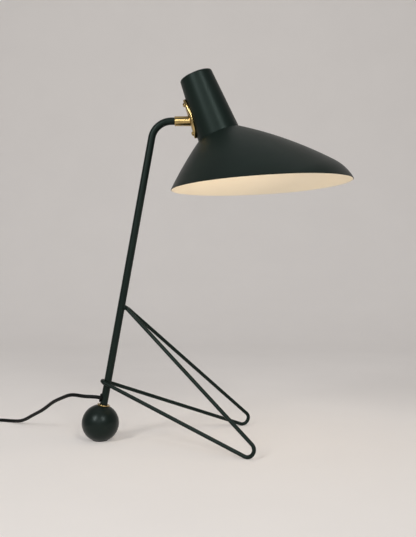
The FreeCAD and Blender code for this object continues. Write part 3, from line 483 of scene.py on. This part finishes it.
def coilRoute(c):
    x, y, z = c["switchX"], c["coilCentre"][1], c["coilCentre"][2]
    high = z + c["coilPitch"]
    plugX, plugY, plugZ = c["plugFace"]
    points = [
        (x, c["switchNear"], c["switchEntry"]),
        (x, c["switchNear"] - c["reliefRun"], c["switchEntry"]),
        (x, y + c["coilLead"] + c["reliefRun"], z),
        (x, y + c["coilLead"], z),
    ]
    count = c["coilTurns"] * c["pointsPerTurn"]
    points += [coilPoint(c, 2 * pi * i / c["pointsPerTurn"]) for i in range(1, count)]
    points += [
        (x, y - c["coilLead"], high),
        (x, y - c["coilLead"] - c["plugRun"], high),
        (plugX, plugY + c["plugRun"], plugZ),
        (plugX, plugY, plugZ),
    ]
    return points


def cordCurve(name, c, points, steps):
    curve = bpy.data.curves.new(name, "CURVE")
    curve.dimensions = "3D"
    spline = curve.splines.new("NURBS")
    spline.points.add(len(points) - 1)
    for point, (x, y, z) in zip(spline.points, points):
        point.co = (x * mm, y * mm, z * mm, 1.0)
    spline.order_u = 3
    spline.use_endpoint_u = True
    spline.resolution_u = steps
    curve.bevel_depth = c["radius"] * mm
    curve.bevel_resolution = c["roundness"]
    curve.use_fill_caps = True
    return curve


def makeCords(c):
    lead = addPiece("mainsLead", cordCurve("mainsLead", c, leadRoute(c), c["leadSteps"]),
                    "base", "cord_black", cordRubber, "cord_lead")
    coil = addPiece("mainsCoil", cordCurve("mainsCoil", c, coilRoute(c), c["coilSteps"]),
                    "base", "cord_black", cordRubber, "cord_link", "cord_coil", "cord_tail")


makeCords(cordSettings)
print("cords laid")


# shade bell, one spun sheet cut off by a nearly level plane

bellSettings = {
    "neckFoot": (159.3, 413.5),  # x and z
    "lean": 21.42,
    "mouth": 28.0,
    "collar": 6.0,            # height inside the neck
    "taper": 4.42,
    "flareAngle": 55.3,
    "flareRadius": 533.0,
    "flareSweep": 14.9,
    "skirtRadius": 60.3,
    "skirtSweep": 38.0,
    "depth": 76.9,
    "rimTilt": 3.14,
    "sheet": 1.0,
    "around": 192,
    "along": 40,
    "edge": 0.3,
    "edgeSegments": 3,
    "edgeAngle": 40,
}


def shadeMatrix(c):
    x, z = c["neckFoot"]
    return Matrix.Translation((x * mm, 0, z * mm)) @ Matrix.Rotation(radians(-c["lean"]), 4, "Y")


# turns an outline's last point about a centre inside the shade, and gives the new last point and angle
def turnOutline(bm, last, angle, radius, sweep, steps):
    centre = last.co - Vector((cos(angle), 0, sin(angle))) * radius
    turned = bmesh.ops.spin(bm, geom=[last], cent=centre, axis=(0, 1, 0), angle=sweep, steps=steps,
                            use_duplicate=False)
    reached = next(item for item in turned["geom_last"] if isinstance(item, bmesh.types.BMVert))
    return reached, angle - sweep


def bellMesh(c):
    bm = bmesh.new()
    mouth = bm.verts.new((c["mouth"] * mm, 0, 0))
    narrow = c["mouth"] - c["collar"] * tan(radians(c["taper"]))
    collar = bm.verts.new((narrow * mm, 0, c["collar"] * mm))
    bm.edges.new((collar, mouth))
    last, angle = mouth, radians(c["flareAngle"])
    for radius, sweep in ((c["flareRadius"], c["flareSweep"]), (c["skirtRadius"], c["skirtSweep"])):
        last, angle = turnOutline(bm, last, angle, radius * mm, radians(sweep), c["along"])
    spinRound(bm, c["around"])
    bmesh.ops.transform(bm, matrix=shadeMatrix(c), verts=bm.verts[:])
    tilt = radians(c["rimTilt"])
    bmesh.ops.bisect_plane(bm, geom=bm.verts[:] + bm.edges[:] + bm.faces[:], dist=0.001 * mm,
                           plane_co=shadeMatrix(c) @ Vector((0, 0, -c["depth"] * mm)),
                           plane_no=(sin(tilt), 0, -cos(tilt)), clear_outer=True)
    bmesh.ops.recalc_face_normals(bm, faces=bm.faces[:])
    return meshFrom(bm, "shadeBell")


# the sheet's thickness goes inwards, and its inner side takes the cream, whose warm tone is partly painted
# bulb light
def makeBell(c):
    bell = addPiece("shadeBell", bellMesh(c), "head", "green_paint", paint, "shade_bell")
    bell.data.materials.append(creamAndPaintedGlow)
    wall = bell.modifiers.new("sheet", "SOLIDIFY")
    wall.thickness = c["sheet"] * mm
    wall.offset = -1.0
    wall.use_even_offset = True
    wall.material_offset = 1
    wall.material_offset_rim = 0
    edge = bell.modifiers.new("softEdge", "BEVEL")
    edge.width = c["edge"] * mm
    edge.segments = c["edgeSegments"]
    edge.limit_method = "ANGLE"
    edge.angle_limit = radians(c["edgeAngle"])


makeBell(bellSettings)
print("shade bell made")


# back plate of the swivel: an oval bent round the neck, with a soft outer edge

plateSettings = {
    "length": 54.5,
    "width": 23.5,
    "thickness": 3.8,
    "edge": 1.5,
    "edgeSegments": 5,
    "centre": 32.15,          # along the neck's axis from its foot
    "neckRadius": 29.0,       # of the neck's foot
    "around": 112,
    "rings": (0.86, 0.8, 0.7, 0.5),  # each ring of faces shrunk from the last, so that the plate can bend
    "ringGap": 0.05,
}


# a flat plate, across by along by out, laid on the neck's cone
def bendRoundNeck(c, bm):
    slope = radians(bellSettings["taper"])
    for vert in bm.verts:
        across, along, out = vert.co / mm
        height = c["centre"] + along * cos(slope)
        radius = c["neckRadius"] - height * tan(slope)
        turn = across / (radius + out)
        reach = radius + out * cos(slope)
        vert.co = Vector((-reach * cos(turn), reach * sin(turn), height + out * sin(slope))) * mm
    bmesh.ops.transform(bm, matrix=shadeMatrix(bellSettings), verts=bm.verts[:])


def makeBackPlate(c):
    bm = bmesh.new()
    bmesh.ops.create_circle(bm, cap_ends=True, segments=c["around"], radius=1.0)
    bmesh.ops.scale(bm, vec=(c["width"] / 2 * mm, c["length"] / 2 * mm, 1), verts=bm.verts[:])
    raised = bmesh.ops.extrude_face_region(bm, geom=bm.faces[:])
    upper = [item for item in raised["geom"] if isinstance(item, bmesh.types.BMVert)]
    bmesh.ops.translate(bm, verts=upper, vec=(0, 0, c["thickness"] * mm))
    rim = [edge for edge in bm.edges if all(vert in upper for vert in edge.verts)]
    roundEdges(bm, rim, c["edge"] * mm, c["edgeSegments"])
    for face in [face for face in bm.faces if len(face.verts) == c["around"]]:
        for share in c["rings"]:
            bmesh.ops.inset_region(bm, faces=[face], thickness=c["ringGap"] * mm, use_even_offset=True)
            bmesh.ops.scale(bm, vec=(share, share, 1), verts=face.verts[:])
    bendRoundNeck(c, bm)
    bmesh.ops.recalc_face_normals(bm, faces=bm.faces[:])
    addPiece("swivelPlate", meshFrom(bm, "swivelPlate"), "head", "brass", brass, "back_plate")


makeBackPlate(plateSettings)
print("back plate made")


# brass ring that seats on the ball, round the stem

ringSettings = {
    "inner": 5.02,
    "outer": 8.5,
    "thickness": 2.0,
    "edge": 0.85,
    "edgeSegments": 5,
    "ballRadius": 25.0,
    "ballHeight": 23.5,       # of the ball's centre
    "around": 96,
}


def stemMatrix(c):
    return Matrix.Translation((0, 0, c["ballHeight"] * mm)) @ Matrix.Rotation(radians(stemLean), 4, "Y")


# the edges that run round the ring's outside, above and below
def outerEdges(bm, c):
    near = 0.1 * mm
    return [edge for edge in bm.edges
            if all(vert.co.xy.length > c["outer"] * mm - near for vert in edge.verts)
            and abs(edge.verts[0].co.z - edge.verts[1].co.z) < near]


def makeBallRing(c):
    bm = bmesh.new()
    seat = [(r, (c["ballRadius"] ** 2 - r ** 2) ** 0.5) for r in (c["inner"], c["outer"])]
    top = seat[1][1] + c["thickness"]
    outline = [bm.verts.new((r * mm, 0, h * mm)) for r, h in seat + [(c["outer"], top), (c["inner"], top)]]
    for first, second in zip(outline, outline[1:] + outline[:1]):
        bm.edges.new((first, second))
    spinRound(bm, c["around"])
    bmesh.ops.recalc_face_normals(bm, faces=bm.faces[:])
    roundEdges(bm, outerEdges(bm, c), c["edge"] * mm, c["edgeSegments"])
    bmesh.ops.transform(bm, matrix=stemMatrix(c), verts=bm.verts[:])
    addPiece("ballRing", meshFrom(bm, "ballRing"), "base", "brass", brass, "ball_collar")


makeBallRing(ringSettings)
print("ball ring made")


# rubber grommet: an oval flange that hugs the stem, with the cord's bore through it

grommetSettings = {
    # half across, half along the stem, reach from the stem's axis, whether it follows the tube's round
    "loops": [
        (3.38, 3.38, 4.0, True),     # shank in the tube's wall
        (3.38, 3.38, 5.0, True),
        (4.5, 5.6, 5.0, True),       # flange
        (4.75, 5.85, 5.9, False),
        (4.6, 5.7, 6.4, False),
        (4.1, 5.2, 6.75, False),
        (3.4, 4.2, 6.9, False),
        (2.95, 3.0, 6.9, False),     # mouth of the bore
        (2.6, 2.6, 6.55, False),
        (2.52, 2.52, 4.0, True),
    ],
    "around": 48,
}


def makeGrommet(c):
    bm = bmesh.new()
    loops = []
    for across, along, reach, onTube in c["loops"]:
        made = bmesh.ops.create_circle(bm, segments=c["around"], radius=1.0)["verts"]
        for vert in made:
            side = vert.co.y * across
            lift = (reach ** 2 - side ** 2) ** 0.5 if onTube else reach
            vert.co = Vector((-lift, side, vert.co.x * along)) * mm
        loops.append([edge for edge in bm.edges if edge.verts[0] in made])
    for lower, upper in zip(loops, loops[1:] + loops[:1]):
        bmesh.ops.bridge_loops(bm, edges=lower + upper)
    bmesh.ops.recalc_face_normals(bm, faces=bm.faces[:])
    x, z = cordSettings["grommet"]
    lean = Matrix.Rotation(radians(stemLean), 3, "Y")
    bmesh.ops.rotate(bm, cent=(0, 0, 0), matrix=lean, verts=bm.verts[:])
    bmesh.ops.translate(bm, verts=bm.verts[:], vec=(x * mm, 0, z * mm))
    addPiece("stemGrommet", meshFrom(bm, "stemGrommet"), "base", "cord_black", cordRubber, "cord_grommet")


makeGrommet(grommetSettings)
print("grommet made")


# floor and backdrop, one sweep of pale paper

stageSettings = {
    "colour": (0.62, 0.595, 0.57),
    "drift": 0.015,
    "cloud": 6.0,
    "rough": 0.9,
    "seen": (1.0, 0.93, 0.89),
    "paleness": 0.24,         # of the paper as the camera and glossy surfaces see it
    "width": 20.0,
    "front": -10.0,
    "back": 1.2,
    "sweep": 0.9,
    "sweepSteps": 24,
    "height": 4.0,
}


def sweepMesh(c):
    bm = bmesh.new()
    start = bm.verts.new((-c["width"] / 2, c["front"], 0))
    turn = bm.verts.new((-c["width"] / 2, c["back"], 0))
    bm.edges.new((start, turn))
    swept = bmesh.ops.spin(bm, geom=[turn], cent=(0, c["back"], c["sweep"]), axis=(1, 0, 0), angle=pi / 2,
                           steps=c["sweepSteps"], use_duplicate=False)
    corner = next(item for item in swept["geom_last"] if isinstance(item, bmesh.types.BMVert))
    top = bm.verts.new(corner.co + Vector((0, 0, c["height"])))
    bm.edges.new((corner, top))
    pulled = bmesh.ops.extrude_edge_only(bm, edges=bm.edges[:])
    far = [item for item in pulled["geom"] if isinstance(item, bmesh.types.BMVert)]
    bmesh.ops.translate(bm, verts=far, vec=(c["width"], 0, 0))
    bmesh.ops.recalc_face_normals(bm, faces=bm.faces[:])
    floor = max(bm.faces, key=lambda face: abs(face.normal.z))
    if floor.normal.z < 0:
        bmesh.ops.reverse_faces(bm, faces=bm.faces[:])
    return meshFrom(bm, "studioSweep")


# matt paper that camera, glossy and transmission rays see a little paler than it is lit
def studioPaper(c):
    material, tree, shader = newMaterial("studioPaper")
    cloud = addNoise(tree, objectCoordinates(tree), c["cloud"], detail=3.0)
    driftColour(tree, shader, cloud, tone(c["colour"], 1 - c["drift"]), tone(c["colour"], 1 + c["drift"]))
    shader.inputs["Roughness"].default_value = c["rough"]
    path = addNode(tree, "ShaderNodeLightPath")
    seen = path.outputs["Is Camera Ray"]
    for ray in ("Is Glossy Ray", "Is Transmission Ray"):
        either = addNode(tree, "ShaderNodeMath", operation="MAXIMUM")
        tree.links.new(seen, either.inputs[0])
        tree.links.new(path.outputs[ray], either.inputs[1])
        seen = either.outputs[0]
    glow = addNode(tree, "ShaderNodeMath", operation="MULTIPLY")
    tree.links.new(seen, glow.inputs[0])
    glow.inputs[1].default_value = c["paleness"]
    shader.inputs["Emission Color"].default_value = (*c["seen"], 1.0)
    tree.links.new(glow.outputs[0], shader.inputs["Emission Strength"])
    return material


def makeStage(c):
    backdrop = bpy.data.objects.new("studioSweep", sweepMesh(c))
    bpy.context.scene.collection.objects.link(backdrop)
    backdrop.data.materials.append(studioPaper(c))


makeStage(stageSettings)
print("stage set")


# soft studio light

lightSettings = {
    # name: place, size, power, colour; each looks at the lamp
    "leftWindow": ((-0.95, -1.55, 1.35), (0.45, 0.9), 20.0, (1.0, 0.99, 0.98)),
    "rightWindow": ((0.95, -1.75, 1.45), (0.40, 0.9), 15.0, (1.0, 0.985, 0.96)),
    "frontWindow": ((-0.05, -2.6, 1.05), (0.14, 1.3), 5.0, (1.0, 0.99, 0.97)),
    "topFill": ((0.2, 0.1, 2.3), (2.2, 2.2), 5.0, (1.0, 0.99, 0.98)),
}
aimPoint = Vector((0.12, 0.0, 0.25))
roomSettings = {
    "colour": (0.94, 0.96, 1.0),
    "strength": 0.22,
    "seen": (0.366, 0.347, 0.335),  # past the paper's edges
}
bulbLight = {
    "place": (0.2060, 0.0, 0.3400),
    "radius": 0.030,
    "power": 0.24,
    "colour": (1.0, 0.80, 0.55),
}


def makeWindows(lights):
    for name, (place, size, power, colour) in lights.items():
        data = bpy.data.lights.new(name, "AREA")
        data.shape = "RECTANGLE"
        data.size, data.size_y = size
        data.energy = power
        data.color = colour
        window = bpy.data.objects.new(name, data)
        window.location = place
        window.rotation_euler = (aimPoint - Vector(place)).to_track_quat("-Z", "Y").to_euler()
        bpy.context.scene.collection.objects.link(window)


# even light from all round, and a plain tone where the camera sees past the paper
def makeRoom(c):
    world = bpy.data.worlds.new("softRoom")
    bpy.context.scene.world = world
    world.use_nodes = True
    tree = world.node_tree
    light = tree.nodes["Background"]
    light.inputs["Color"].default_value = (*c["colour"], 1.0)
    light.inputs["Strength"].default_value = c["strength"]
    seen = addNode(tree, "ShaderNodeBackground", Color=(*c["seen"], 1.0), Strength=1.0)
    path = addNode(tree, "ShaderNodeLightPath")
    mix = addNode(tree, "ShaderNodeMixShader")
    tree.links.new(path.outputs["Is Camera Ray"], mix.inputs[0])
    tree.links.new(light.outputs[0], mix.inputs[1])
    tree.links.new(seen.outputs[0], mix.inputs[2])
    tree.links.new(mix.outputs[0], tree.nodes["World Output"].inputs["Surface"])


# the bulb's own light turns with the shade, and the glass throws no shadow of it
def makeBulbLight(c):
    data = bpy.data.lights.new("bulbGlow", "POINT")
    data.energy = c["power"]
    data.color = c["colour"]
    data.shadow_soft_size = c["radius"]
    glow = bpy.data.objects.new("bulbGlow", data)
    glow.location = c["place"]
    glow.visible_camera = False
    glow.visible_glossy = False
    bpy.context.scene.collection.objects.link(glow)
    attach(glow, "head")
    nodes["bulb_glass"].visible_shadow = False


makeWindows(lightSettings)
makeRoom(roomSettings)
makeBulbLight(bulbLight)
bpy.context.scene.view_settings.view_transform = "Standard"
print("stage lit")
